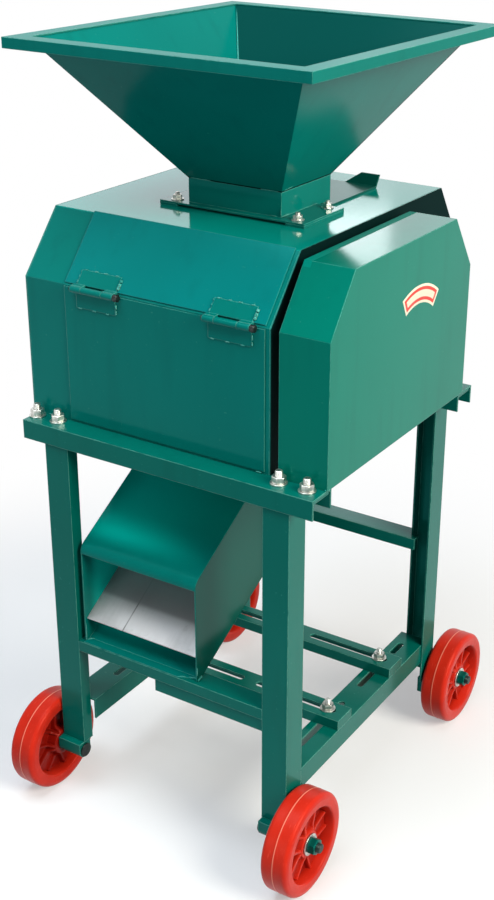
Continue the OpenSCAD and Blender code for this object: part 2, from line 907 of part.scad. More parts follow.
// Bolts that hold the neck and its gate guides down
function neck_bolt_spots() =
    [for (x = [neck_x1 + 27, neck_x0 - 24], y = [neck_y0 + 3, neck_y0 + 90]) [x, y]];

module hopper_neck() {
    t = skin;
    z0 = case_z + guide_h;
    color([0.0, 0.42, 0.37])
    at_front()
    difference() {
        union() {
            bar(neck_x0, neck_x1, neck_y0, neck_y1, z0, neck_z);
            bar(flange_x0, flange_x1, flange_y0, flange_y1, z0, z0 + neck_flange_t);
        }
        bar(neck_x0 + t, neck_x1 - t, neck_y0 + t, neck_y1 - t, z0 - 1, neck_z + 1);
        for (b = neck_bolt_spots()) rod_z(b[0], b[1], z0 - 1, z0 + neck_flange_t + 1, 4);
    }
}

module neck_bolts() {
    z0 = case_z + guide_h + neck_flange_t;
    color([0.8, 0.8, 0.76])
    at_front()
    for (b = neck_bolt_spots()) {
        rod_z(b[0], b[1], case_z - skin - 6, z0 + 12, 4);
        rod_z(b[0], b[1], z0, z0 + 1.6, 10);
        hex_z(b[0], b[1], z0 + 1.6, z0 + 8, 13);
        hex_z(b[0], b[1], case_z - skin - 6, case_z - skin, 13);
    }
}

module slide_gate() {
    z0 = case_z + rest;
    color([0.0, 0.45, 0.4])
    at_front() {
        bar(gate_x0, gate_x1, gate_y0, gate_y1, z0, z0 + gate_t);
        hull() {
            bar(20, gate_x1, gate_y1 - 3, gate_y1, z0, z0 + 0.5);
            bar(48, gate_x1, gate_y1 + 9, gate_y1 + 12, z0 + 19.5, z0 + 20);
        }
    }
}

module gate_guides() {
    color([0.0, 0.42, 0.37])
    at_front()
    difference() {
        union() {
            bar(gate_x1 + rest, flange_x1, flange_y0, flange_y1, case_z, case_z + guide_h);
            bar(flange_x0, gate_x0 - rest, flange_y0, flange_y1, case_z, case_z + guide_h);
        }
        for (b = neck_bolt_spots()) rod_z(b[0], b[1], case_z - 1, case_z + guide_h + 1, 4);
    }
}

// Points of the chute side wall: depth, height
function hood_slope_z(y) = chute_top + (y - 7) * tan(chute_slope);
function tray_z(y) = tray_z0 + (y - tray_y0) * tan(33);

// Rounded front edge of the hood, from its upright lip to its slope
function hood_bend(r) = [for (i = [0 : 6])
    let (a = 180 - i * (90 - chute_slope) / 6)
    [7 + bend_r + r * cos(a), chute_top - bend_r * tan(45 - chute_slope / 2) + r * sin(a)]];

module chute_wall() {
    polygon(concat([[7, cross_z]], hood_bend(bend_r), [[chute_bend, hood_slope_z(chute_bend)],
        [chute_bend, rail_top], [chute_rear, rail_top], [chute_rear, back_z], [16, cross_z]]));
}

module chute_hood() {
    t = skin;
    lip_z = chute_top - 13;
    color([0.0, 0.42, 0.36])
    at_front() {
        along_x(chute_x0, chute_x0 + t) chute_wall();
        along_x(chute_x1 - t, chute_x1) chute_wall();
        along_x(chute_x0 + t, chute_x1 - t)
            polygon(concat([[7, lip_z]], hood_bend(bend_r),
                [[chute_bend, hood_slope_z(chute_bend)], [chute_bend, rail_top], [chute_bend + t, rail_top],
                [chute_bend + t, hood_slope_z(chute_bend + t) - t / cos(chute_slope)]],
                [for (i = [6 : -1 : 0]) hood_bend(bend_r - t)[i]], [[7 + t, lip_z]]));
        bar(chute_x0 + t, chute_x1 - t, chute_rear - t, chute_rear, back_z, rail_top);
        along_x(chute_x0 + t, chute_x1 - t)
            polygon([[16, cross_z], [chute_rear, back_z], [chute_rear, back_z + t * 1.14],
                [16, cross_z + t * 1.14]]);
        translate([0, 0, cross_z]) linear_extrude(t)
            polygon([[chute_x0 + t, 0.5], [chute_x1 - 33, 0.5], [chute_x1 - t, 14],
                [chute_x1 - t, 17], [chute_x0 + t, 17]]);
        bar(bp_l - plate_w - 24, chute_x0 + eps, chute_bend + 10, chute_rear - 10, rail_top - t, rail_top);
        bar(chute_x1 - eps, bp_r + plate_w + 24, chute_bend + 10, chute_rear - 10, rail_top - t, rail_top);
    }
}

module chute_tray() {
    t = tray_t;
    y1 = chute_rear - skin;
    color([0.78, 0.77, 0.76])
    at_front()
    along_x(chute_x0 + skin, chute_x1 - skin)
        polygon([[tray_y0, tray_z0], [y1, tray_z(y1)], [y1, tray_z(y1) - t], [tray_y0, tray_z0 - t]]);
}

leg_front_left();
leg_front_right();
leg_rear_left();
leg_rear_right();
leg_plates();
top_rail_front();
top_rail_rear();
frame_bolts();
side_rail_left();
side_rail_right();
cross_rail_front();
mid_rail_rear();
motor_rail_front();
motor_rail_rear();
motor_rail_bolts();
axle_blocks();
axle_bolts();
axle_nuts();
wheel_front_left();
wheel_front_right();
wheel_rear_left();
wheel_rear_right();
casing_side_left();
casing_side_right();
casing_cover();
casing_rear();
slope_panel();
hinge_leaves_fixed();
hinge_pins();
front_door();
hinge_leaves_door();
belt_guard();
mill_bearers();
bearing_plate_left();
bearing_plate_right();
outboard_plate();
fixed_bearings();
slide_bearings();
gap_screws();
gap_springs();
gap_nuts();
screw_lugs();
drive_roller();
drive_gear();
drive_pulley();
driven_roller();
driven_gear();
scrapers();
feed_throat();
hopper();
hopper_rim();
hopper_neck();
neck_bolts();
slide_gate();
gate_guides();
chute_hood();
chute_tray();
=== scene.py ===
import json
import math

import bmesh
import bpy
import numpy as np
from mathutils import Matrix, Vector


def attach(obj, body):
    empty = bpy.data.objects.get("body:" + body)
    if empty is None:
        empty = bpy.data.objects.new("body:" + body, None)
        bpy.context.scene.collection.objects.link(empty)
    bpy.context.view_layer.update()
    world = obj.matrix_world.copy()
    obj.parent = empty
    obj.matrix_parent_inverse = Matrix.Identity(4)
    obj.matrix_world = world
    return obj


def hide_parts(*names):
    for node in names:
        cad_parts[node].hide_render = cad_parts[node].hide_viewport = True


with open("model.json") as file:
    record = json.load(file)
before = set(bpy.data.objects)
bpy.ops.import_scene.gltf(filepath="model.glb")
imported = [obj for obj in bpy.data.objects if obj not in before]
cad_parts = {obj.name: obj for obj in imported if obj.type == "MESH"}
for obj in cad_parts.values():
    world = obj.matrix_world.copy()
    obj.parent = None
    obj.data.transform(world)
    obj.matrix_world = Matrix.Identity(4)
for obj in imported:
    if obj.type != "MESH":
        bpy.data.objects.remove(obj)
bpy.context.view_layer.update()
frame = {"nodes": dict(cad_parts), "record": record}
print("stage: frame loaded")

# Sizes are in millimetres, but those of shader edges, floor, lamps and camera in metres
# Depth is measured backwards from the front face of the front legs
mm = 0.001
legFace = -273.5


# Shader maths: a socket that takes part in Python expressions, and one function that adds any other node

class Sock:
    def __init__(self, tree, out):
        self.tree, self.out = tree, out

    def math(self, operation, *values):
        return graph(self.tree, "ShaderNodeMath", {"operation": operation}, dict(enumerate(values)))

    def __add__(self, other): return self.math("ADD", self, other)
    def __radd__(self, other): return self.math("ADD", other, self)
    def __sub__(self, other): return self.math("SUBTRACT", self, other)
    def __rsub__(self, other): return self.math("SUBTRACT", other, self)
    def __mul__(self, other): return self.math("MULTIPLY", self, other)
    def __rmul__(self, other): return self.math("MULTIPLY", other, self)


def graph(tree, kind, settings=None, values=None, out=0):
    node = tree.nodes.new(kind)
    for key, value in (settings or {}).items():
        setattr(node, key, value)
    feed(tree, node, values or {})
    return Sock(tree, node.outputs[out])


def feed(tree, node, values):
    for key, value in values.items():
        if isinstance(value, Sock):
            tree.links.new(value.out, node.inputs[key])
        else:
            node.inputs[key].default_value = value


def newSurface(name, shaderKind="ShaderNodeBsdfPrincipled"):
    material = bpy.data.materials.new(name)
    material.use_nodes = True
    tree = material.node_tree
    tree.nodes.clear()
    shader = tree.nodes.new(shaderKind)
    output = tree.nodes.new("ShaderNodeOutputMaterial")
    tree.links.new(shader.outputs[0], output.inputs[0])
    return material, tree, shader


def objectPoint(tree, stretch=(1, 1, 1)):
    at = graph(tree, "ShaderNodeTexCoord", out="Object")
    return graph(tree, "ShaderNodeMapping", {}, {"Vector": at, "Scale": stretch})


def noise(tree, at, scale, detail):
    values = {"Vector": at, "Scale": scale, "Detail": detail, "Roughness": 0.5}
    return graph(tree, "ShaderNodeTexNoise", {}, values)


def vectorMath(tree, operation, *values, out=0):
    return graph(tree, "ShaderNodeVectorMath", {"operation": operation}, dict(enumerate(values)), out=out)


def blendColour(tree, share, first, second):
    first, second = [tone if isinstance(tone, Sock) else (*tone, 1) for tone in (first, second)]
    return graph(tree, "ShaderNodeMix", {"data_type": "RGBA", "blend_type": "MIX"},
                 {0: share, 6: first, 7: second}, out=2)


# 0 below "low", 1 above "high", smooth between them
def band(tree, value, low, high):
    return graph(tree, "ShaderNodeMapRange", {"interpolation_type": "SMOOTHSTEP"},
                 {"Value": value, "From Min": low, "From Max": high})


# 0 below an edge in millimetres and 1 above it, over "soft" to both sides
def step(tree, value, edge, soft):
    return band(tree, value, (edge - soft) * mm, (edge + soft) * mm)


# 1 from "low" to "high" along one axis of the object, in millimetres
def between(tree, at, axis, low, high, soft):
    part = graph(tree, "ShaderNodeSeparateXYZ", {}, {0: at}, out=axis)
    return step(tree, part, low, soft) * (1 - step(tree, part, high, soft))


# Edges rounded in shading, and a share that is 1 where the rounded normal leans far off the true one
def roundedEdges(tree, width):
    rounded = graph(tree, "ShaderNodeBevel", {"samples": 4}, {"Radius": width})
    flat = graph(tree, "ShaderNodeNewGeometry", out="True Normal")
    same = vectorMath(tree, "DOT_PRODUCT", rounded, flat, out="Value")
    return rounded, band(tree, 1 - same, 0.02, 0.25)


def bumps(tree, strength, distance, height, normal):
    return graph(tree, "ShaderNodeBump", {},
                 {"Strength": strength, "Distance": distance, "Height": height, "Normal": normal})


# Finishes

# "edge" is the colour along folds, a painted highlight mixed with rubbed wear, or a darker fold line on the
# hopper; the last figure of each kind is how much of it shows
paintKinds = {
    "sheet": {"colour": (0.0003, 0.152, 0.134), "edge": (0.22, 0.66, 0.58), "edgeWidth": 0.0021,
              "rough": 0.08, "ripple": 0.02, "gloss": 0.24, "edgeShare": 0.45},
    # The slope panel's lighter, bluer tone is a painted reflection of the bright surroundings above
    "slope": {"colour": (0.0003, 0.172, 0.172), "edge": (0.22, 0.66, 0.60), "edgeWidth": 0.0018,
              "rough": 0.08, "ripple": 0.02, "gloss": 0.24, "edgeShare": 0.30},
    "rim": {"colour": (0.0030, 0.150, 0.132), "edge": (0.25, 0.70, 0.62), "edgeWidth": 0.0018,
            "rough": 0.34, "ripple": 0.02, "gloss": 0.05, "edgeShare": 0.70},
    "hopper": {"colour": (0.0003, 0.148, 0.134), "edge": (0.0005, 0.035, 0.030), "edgeWidth": 0.0016,
               "rough": 0.15, "ripple": 0.02, "gloss": 0.05, "edgeShare": 0.75},
    "guard": {"colour": (0.0003, 0.155, 0.116), "edge": (0.22, 0.66, 0.58), "edgeWidth": 0.0021,
              "rough": 0.09, "ripple": 0.02, "gloss": 0.20, "edgeShare": 0.60},
    "frame": {"colour": (0.0003, 0.120, 0.098), "edge": (0.24, 0.66, 0.56), "edgeWidth": 0.0021,
              "rough": 0.16, "ripple": 0.05, "gloss": 0.24, "edgeShare": 0.70},
    # The welds' pale edges are painted glints
    "weld": {"colour": (0.002, 0.15, 0.13), "edge": (0.35, 0.75, 0.66), "edgeWidth": 0.0010,
             "rough": 0.06, "ripple": 0.3, "gloss": 0.9, "edgeShare": 0.9},
    "cast": {"colour": (0.001, 0.07, 0.058), "edge": (0.08, 0.32, 0.27), "edgeWidth": 0.0008,
             "rough": 0.3, "ripple": 0.1, "gloss": 0.4, "edgeShare": 0.5},
}
paintWear = {"pale": 1.16, "run": 0.72, "runShare": 0.22, "dust": (0.04, 0.25, 0.21), "dustShare": 0.45,
             "tint": (0.0, 0.9, 0.85, 1)}


# Teal gloss paint: slow drift of tone, faint runs down the sheets, dust, and paler paint along folds, which is a
# painted edge highlight over patches of rubbed wear; the hopper's folds are drawn darker instead
# "shade" gives a share, a colour and an added roughness for a part of the piece
def greenPaint(name, kind, shade=None):
    s, wear = paintKinds[kind], paintWear
    material, tree, shader = newSurface(name)
    at = objectPoint(tree)
    drift = noise(tree, at, 2.6, 2)
    runs = noise(tree, objectPoint(tree, (7, 7, 0.9)), 5.0, 2)
    dust = noise(tree, at, 210.0, 1)
    rounded, edge = roundedEdges(tree, s["edgeWidth"])
    edgeWearAndHighlight = edge * band(tree, noise(tree, at, 48.0, 4), 0.22, 0.52)
    paler, deeper = [[part * wear[way] for part in s["colour"]] for way in ("pale", "run")]
    tone = blendColour(tree, band(tree, drift, 0.3, 0.7), s["colour"], paler)
    tone = blendColour(tree, band(tree, runs, 0.5, 0.78) * wear["runShare"], tone, deeper)
    tone = blendColour(tree, band(tree, dust, 0.74, 0.8) * wear["dustShare"], tone, wear["dust"])
    # Painted edge highlight over rubbed wear
    tone = blendColour(tree, edgeWearAndHighlight * s["edgeShare"], tone, s["edge"])
    matt = 0
    if shade:
        share, own, matt = shade(tree, at)
        tone = blendColour(tree, share, tone, own)
        matt = share * matt
    bump = bumps(tree, s["ripple"], 0.001, noise(tree, at, 330.0, 1), rounded)
    feed(tree, shader, {"Base Color": tone, "Roughness": s["rough"] + drift * 0.06 + edgeWearAndHighlight * 0.15 + matt,
                        "Normal": bump, "Specular IOR Level": s["gloss"], "Specular Tint": wear["tint"]})
    return material


# Painted shadow: the casing's side behind the belt guard is painted near black where the gap lies in shade.
# Painted light: its top is painted brighter than its sides
guardGapShadowSizes = {"axis": "X", "span": (169.7, 171), "soft": 0.1, "colour": (0.0006, 0.002, 0.002), "matt": 0.75}
coverSizes = {"axis": "Z", "span": (998.8, 1002), "soft": 0.2, "colour": (0.0003, 0.27, 0.235), "matt": 0.0}


def faceShade(s):
    return lambda tree, at: (between(tree, at, s["axis"], *s["span"], s["soft"]), s["colour"], s["matt"])


# The back wall leans back from its foot by 218 for each 215 of height
hopperSizes = {"footDepth": 368, "footHigh": 1045, "lean": 218 / 215, "inside": 3, "seam": (1044.6, 1047.4),
               "seamSoft": 0.3, "back": (0.0003, 0.050, 0.046), "line": (0.001, 0.012, 0.010), "most": 0.95}


# The hopper's back wall is painted darker inside as painted shade, and the seam where its walls meet the neck is
# a dark line
def hopperShade(tree, at):
    s = hopperSizes
    depth = vectorMath(tree, "DOT_PRODUCT", at, (0, 1, -s["lean"]), out="Value")
    foot = s["footDepth"] + legFace - s["footHigh"] * s["lean"] - s["inside"]
    seam = between(tree, at, "Z", *s["seam"], s["seamSoft"])
    share = step(tree, depth, foot, 1) + seam
    return share.math("MINIMUM", share, s["most"]), blendColour(tree, seam, s["back"], s["line"]), 0.0


chuteSizes = {"pale": (0.0003, 0.52, 0.45), "depths": (34, 190), "depthSoft": 16, "across": (-150, 75),
              "wall": (53.7, 55), "wallSoft": 0.1, "deep": (0.0002, 0.070, 0.054)}


# Painted light and shade: the chute's hood is painted palest low on the left and deepens to its upper right
# corner; its right wall is painted deep as shade
def chuteShade(tree, at):
    s = chuteSizes
    across = graph(tree, "ShaderNodeSeparateXYZ", {}, {0: at}, out="X")
    front, rear = [depth + legFace for depth in s["depths"]]
    left, right = [x * mm for x in s["across"]]
    pale = between(tree, at, "Y", front, rear, s["depthSoft"]) * (1 - band(tree, across, left, right))
    wall = between(tree, at, "X", *s["wall"], s["wallSoft"])
    share = pale + wall
    return share.math("MINIMUM", share, 1.0), blendColour(tree, wall, s["pale"], s["deep"]), 0.0


guardSizes = {"across": (183, 197), "acrossSoft": 0.6, "high": (985, 1000), "highSoft": 1,
              "colour": (0.0003, 0.21, 0.165), "matt": 0.5}


# The guard's top shines less along the casing, and that strip is painted a lighter tone as painted light
def guardShade(tree, at):
    s = guardSizes
    strip = between(tree, at, "X", *s["across"], s["acrossSoft"])
    strip = strip * between(tree, at, "Z", *s["high"], s["highSoft"])
    return strip, s["colour"], s["matt"]


# All four wheels lie the same way about the origin; "middle", "axle" and the bands are measured from there
plasticSizes = {"colour": (0.60, 0.022, 0.009), "pale": (0.90, 0.12, 0.075), "deep": (0.36, 0.005, 0.002),
                "recessShade": (0.20, 0.003, 0.001), "seam": (1.0, 0.36, 0.26), "tint": (1, 0.4, 0.35, 1),
                "middle": 252, "axle": (0, 271.5, 85), "recessAcross": (256.0, 266.5), "recessRadius": (57, 61),
                "seamHalf": (0.4, 1.3), "tread": (83, 84), "edgeWidth": 0.0012}


# Orange-red plastic: cloudy tone, scuffs round the tread, paler edges as painted highlight, paler mould line,
# and painted shade in the recesses
def wheelPlastic(name):
    s = plasticSizes
    material, tree, shader = newSurface(name)
    at = objectPoint(tree)
    cloud = noise(tree, at, 18.0, 3)
    scuffs = noise(tree, objectPoint(tree, (5, 1, 1)), 70.0, 4)
    rounded, edge = roundedEdges(tree, s["edgeWidth"])

    def bandIn(value, limits):
        return band(tree, value, limits[0] * mm, limits[1] * mm)

    tone = blendColour(tree, band(tree, cloud, 0.35, 0.7) * 0.35, s["colour"], s["deep"])
    tone = blendColour(tree, band(tree, scuffs, 0.60, 0.8) * 0.35, tone, s["pale"])
    # Painted highlight along the edges
    tone = blendColour(tree, edge * 0.55, tone, s["pale"])
    away = vectorMath(tree, "ABSOLUTE", at)
    across = graph(tree, "ShaderNodeSeparateXYZ", {}, {0: away}, out="X")
    sideways = vectorMath(tree, "MULTIPLY", away, (0, 1, 1))
    radius = vectorMath(tree, "DISTANCE", sideways, Vector(s["axle"]) * mm, out="Value")
    # Painted shade in the recess of each wheel's face
    recessShade = (1 - bandIn(across, s["recessAcross"])) * (1 - bandIn(radius, s["recessRadius"]))
    tone = blendColour(tree, recessShade * 0.88, tone, s["recessShade"])
    offMiddle = across - s["middle"] * mm
    seam = (1 - bandIn(offMiddle.math("ABSOLUTE", offMiddle), s["seamHalf"])) * bandIn(radius, s["tread"])
    tone = blendColour(tree, seam * 0.6, tone, s["seam"])
    bump = bumps(tree, 0.12, 0.0008, scuffs + cloud, rounded)
    feed(tree, shader, {"Base Color": tone, "Roughness": 0.27 + scuffs * 0.18, "Normal": bump,
                        "Specular IOR Level": 0.26, "Specular Tint": s["tint"]})
    return material


metalKinds = {
    "zinc": {"colour": (0.80, 0.80, 0.76), "dark": (0.42, 0.42, 0.39), "rough": 0.24, "scale": 150,
             "metal": 1.0, "bump": 0.08},
    "darkSteel": {"colour": (0.03, 0.055, 0.05), "dark": (0.008, 0.012, 0.012), "rough": 0.3, "scale": 90,
                  "metal": 0.7, "bump": 0.2},
    "machined": {"colour": (0.42, 0.42, 0.43), "dark": (0.17, 0.16, 0.15), "rough": 0.3, "scale": 240,
                 "metal": 1.0, "bump": 0.12, "grain": (0.15, 1, 1)},
    "castIron": {"colour": (0.13, 0.135, 0.14), "dark": (0.04, 0.04, 0.045), "rough": 0.55, "scale": 170,
                 "metal": 0.7, "bump": 0.4},
    "greyPaint": {"colour": (0.09, 0.1, 0.1), "dark": (0.04, 0.045, 0.045), "rough": 0.42, "scale": 60,
                  "metal": 0.0, "bump": 0.2},
    "bluePaint": {"colour": (0.03, 0.075, 0.12), "dark": (0.01, 0.03, 0.05), "rough": 0.4, "scale": 80,
                  "metal": 0.0, "bump": 0.35},
    "burntBlack": {"colour": (0.012, 0.02, 0.02), "dark": (0.004, 0.005, 0.005), "rough": 0.25, "scale": 300,
                   "metal": 0.3, "bump": 0.5},
}


# Metal or painted iron: fine grain, along one way where "grain" stretches it, cloudy tone and edges brightened
# as painted highlight
def metal(name, kind):
    s = metalKinds[kind]
    material, tree, shader = newSurface(name)
    grain = noise(tree, objectPoint(tree, s.get("grain", (1, 1, 1))), s["scale"], 3)
    cloud = noise(tree, objectPoint(tree), 14.0, 3)
    rounded, edge = roundedEdges(tree, 0.0006)
    tone = blendColour(tree, band(tree, grain * 0.6 + cloud * 0.4, 0.35, 0.68), s["dark"], s["colour"])
    tone = blendColour(tree, edge * 0.5, tone, [min(1, part * 1.4 + 0.05) for part in s["colour"]])
    bump = bumps(tree, s["bump"], 0.0006, grain, rounded)
    feed(tree, shader, {"Base Color": tone, "Roughness": s["rough"] + grain * 0.14 + cloud * 0.08,
                        "Metallic": s["metal"], "Normal": bump})
    return material


traySizes = {"litDepth": 54.5, "pastTray": 900, "litSoft": 4.0,
             "seamAcross": -95.5, "seamHalf": 1.1, "seamSoft": 0.9,
             "dull": (0.38, 0.37, 0.385), "bright": (0.56, 0.545, 0.57), "stain": (0.22, 0.21, 0.22),
             "shade": (0.27, 0.255, 0.27), "line": (0.05, 0.05, 0.05), "edge": (0.98, 0.98, 1.0)}


# The tray: cloudy tone, stains, a dark line along one crease, its upper part painted dark as the hood lip's
# shadow, and painted highlight along its edges
def trayMetal(name):
    s = traySizes
    material, tree, shader = newSurface(name)
    at = objectPoint(tree)
    grain = noise(tree, objectPoint(tree, (1, 0.06, 0.06)), 160.0, 3)
    cloud = noise(tree, at, 11.0, 4)
    stains = noise(tree, at, 46.0, 3)
    tone = blendColour(tree, band(tree, cloud * 0.85 + grain * 0.15, 0.36, 0.66), s["dull"], s["bright"])
    tone = blendColour(tree, band(tree, stains, 0.62, 0.8) * 0.5, tone, s["stain"])
    left, right = s["seamAcross"] - s["seamHalf"], s["seamAcross"] + s["seamHalf"]
    seam = between(tree, at, "X", left, right, s["seamSoft"])
    tone = blendColour(tree, seam * (1 - band(tree, cloud, 0.55, 0.75) * 0.5) * 0.75, tone, s["line"])
    # Painted shadow of the hood's lip over the tray's upper part
    upper = between(tree, at, "Y", s["litDepth"] + legFace, s["pastTray"], s["litSoft"])
    tone = blendColour(tree, upper * (0.90 - cloud * 0.1), tone, s["shade"])
    # Painted highlight along the edges
    rounded, edge = roundedEdges(tree, 0.0009)
    tone = blendColour(tree, edge * 0.9, tone, s["edge"])
    bump = bumps(tree, 0.06, 0.002, cloud + grain * 0.2, rounded)
    feed(tree, shader, {"Base Color": tone, "Roughness": 0.38 + grain * 0.12, "Metallic": 0.3, "Normal": bump})
    return material


# "middle" is depth and height of the arc's centre; angles are in degrees from upright
labelSizes = {"middle": (295.0, 803.0), "inner": 86.0, "outer": 115.0, "from": -26.0, "to": 37.6,
              "face": 266.0, "thick": 0.3, "border": 4.0, "stripe": 9.0, "soft": 0.3,
              "cream": (0.80, 0.74, 0.62), "red": (0.66, 0.035, 0.025), "dirt": (0.55, 0.4, 0.33)}


# Plain arched label without any writing: cream border, red field and one plain cream stripe
def labelFinish(name):
    s = labelSizes
    material, tree, shader = newSurface(name)
    at = objectPoint(tree)
    middle = Vector((s["face"], s["middle"][0] + legFace, s["middle"][1])) * mm
    far = vectorMath(tree, "DISTANCE", at, middle, out="Value")
    ends = []
    for way, turn in ((1, s["from"]), (-1, s["to"])):
        across = Vector((0, math.cos(math.radians(turn)), -math.sin(math.radians(turn)))) * way
        ends.append(vectorMath(tree, "DOT_PRODUCT", at, across, out="Value") - across.dot(middle))

    def within(width):
        share = step(tree, far, s["inner"] + width, s["soft"])
        share = share * (1 - step(tree, far, s["outer"] - width, s["soft"]))
        for end in ends:
            share = share * step(tree, end, width, s["soft"])
        return share

    tone = blendColour(tree, within(s["border"]), s["cream"], s["red"])
    tone = blendColour(tree, within(s["stripe"]) * 0.9, tone, s["cream"])
    tone = blendColour(tree, band(tree, noise(tree, at, 90.0, 3), 0.55, 0.8) * 0.3, tone, s["dirt"])
    dull = noise(tree, at, 40.0, 2) * 0.1
    feed(tree, shader, {"Base Color": tone, "Roughness": 0.35 + dull, "Specular IOR Level": 0.4})
    return material


# Finishes by the CAD's material slot, then those of single pieces
finishes = {
    "green_paint": greenPaint("frame_paint", "frame"),
    "sheet_paint": greenPaint("sheet_paint", "sheet"),
    "cast_paint": greenPaint("blackened_paint", "cast"),
    "grey_paint": metal("grey_paint", "greyPaint"),
    "zinc": metal("zinc_plate", "zinc"),
    "dark_steel": metal("dark_steel", "darkSteel"),
    "red_plastic": wheelPlastic("wheel_plastic"),
    "bearing_iron": metal("bearing_paint", "bluePaint"),
    "machined_steel": metal("machined_steel", "machined"),
    "cast_iron": metal("cast_iron", "castIron"),
    "stainless": trayMetal("stainless_sheet"),
    "burnt": metal("burnt_weld", "burntBlack"),
    "guard_paint": greenPaint("guard_paint", "guard", guardShade),
    "side_paint": greenPaint("side_paint", "sheet", faceShade(guardGapShadowSizes)),
    "hopper_paint": greenPaint("hopper_paint", "hopper", hopperShade),
    "chute_paint": greenPaint("chute_paint", "sheet", chuteShade),
    "weld_paint": greenPaint("weld_paint", "weld"),
    "label": labelFinish("plain_label"),
    # Slope paint: a lighter, bluer copy of the sheet paint, as painted reflection
    "slope_paint": greenPaint("slope_paint", "slope"),
    "rim_paint": greenPaint("rim_paint", "rim"),
    "cover_paint": greenPaint("cover_paint", "sheet", faceShade(coverSizes)),
}
ownFinish = {
    "belt_guard": "guard_paint", "casing_side_right": "side_paint", "hopper": "hopper_paint",
    "hopper_rim": "rim_paint", "chute_hood": "chute_paint", "slope_panel": "slope_paint",
    # The slide gate takes the darker cast paint as a painted dark reflection
    "casing_cover": "cover_paint", "slide_gate": "cast_paint",
    **dict.fromkeys(("casing_side_left", "casing_rear", "front_door", "hopper_neck", "gate_guides",
                     "feed_throat", "hinge_leaves_fixed", "hinge_leaves_door"), "sheet_paint"),
}
for entry in frame["record"]["subparts"]:
    node = frame["nodes"][entry["node"]]
    node.data.materials.clear()
    node.data.materials.append(finishes[ownFinish.get(entry["node"], entry["material_slot"])])
print("stage: finishes on", len(frame["nodes"]), "nodes")


# Meshes worked out as whole arrays

# Quads over a grid of points: rows along the profile, columns around it; either way can close on itself
def skinOf(points, closeRows=False, closeColumns=True):
    rows, columns = points.shape[:2]
    index = np.arange(rows * columns).reshape(rows, columns)
    if closeRows:
        index = np.vstack([index, index[:1]])
    if closeColumns:
        index = np.hstack([index, index[:, :1]])
    quads = np.stack([index[:-1, :-1], index[:-1, 1:], index[1:, 1:], index[1:, :-1]], axis=-1)
    return points.reshape(-1, 3), quads.reshape(-1, 4)


# Point round an axis through "at": (radius cos, radius sin) across the axis, height along it
def roundAxis(radius, height, angle, at, axis="z", way=1):
    radius, height, angle = np.broadcast_arrays(radius, height, angle)
    across, up, along = radius * np.cos(angle), radius * np.sin(angle), way * height
    dx, dy, dz = {"z": (across, up, along), "x": (along, across, up)}[axis]
    x, depth, z = at
    return np.stack([x + dx, depth + legFace + dy, z + dz], axis=-1) * mm


def turns(count):
    return np.linspace(0, 2 * np.pi, count, endpoint=False)[None, :]


def column(values):
    return np.asarray(values, dtype=float)[:, None]


meshSizes = {"weld": 1e-6, "sharpAngle": 38}


# One object out of several skins, whose equal points are joined and whose normals point outwards
def addPiece(name, skins, finish, body, stands=()):
    start, points, quads = 0, [], []
    for some, faces in skins:
        points.append(some)
        quads.append(faces + start)
        start += len(some)
    points, quads = np.concatenate(points), np.concatenate(quads)
    mesh = bpy.data.meshes.new(name)
    mesh.vertices.add(len(points))
    mesh.vertices.foreach_set("co", points.astype(np.float32).ravel())
    mesh.loops.add(quads.size)
    mesh.loops.foreach_set("vertex_index", quads.astype(np.int32).ravel())
    mesh.polygons.add(len(quads))
    mesh.polygons.foreach_set("loop_start", np.arange(0, quads.size, 4, dtype=np.int32))
    mesh.update(calc_edges=True)
    work = bmesh.new()
    work.from_mesh(mesh)
    bmesh.ops.remove_doubles(work, verts=work.verts, dist=meshSizes["weld"])
    bmesh.ops.recalc_face_normals(work, faces=work.faces)
    work.to_mesh(mesh)
    work.free()
    mesh.shade_smooth()
    mesh.set_sharp_from_angle(angle=math.radians(meshSizes["sharpAngle"]))
    mesh.materials.append(finishes[finish])
    piece = bpy.data.objects.new(name, mesh)
    bpy.context.collection.objects.link(piece)
    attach(piece, body)
    if stands:
        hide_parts(*stands)


# Wheels: one closed skin each, radius and distance from the middle plane along the profile, angle round the axle

wheelSizes = {"radius": 85.0, "bore": 8.05, "hub": 23.0, "hubOut": 15.5, "hubIn": 24.5, "rimIn": 58.0,
              "spokes": 5, "phase": 80.0, "ribOff": 15.0, "ribWide": 5.0, "ribSoft": 0.8, "ribTop": 12.5,
              "panelHigh": 8.0, "panelLow": 4.5, "webRows": 26, "around": 540}
wheelPlaces = {"fl": (-252, 2), "fr": (252, 2), "rl": (-252, 545), "rr": (252, 545)}
wheelWords = {"f": "front", "r": "rear"}, {"l": "left", "r": "right"}


def ease(value, low, high):
    t = np.clip((value - low) / (high - low), 0, 1)
    return t * t * (3 - 2 * t)


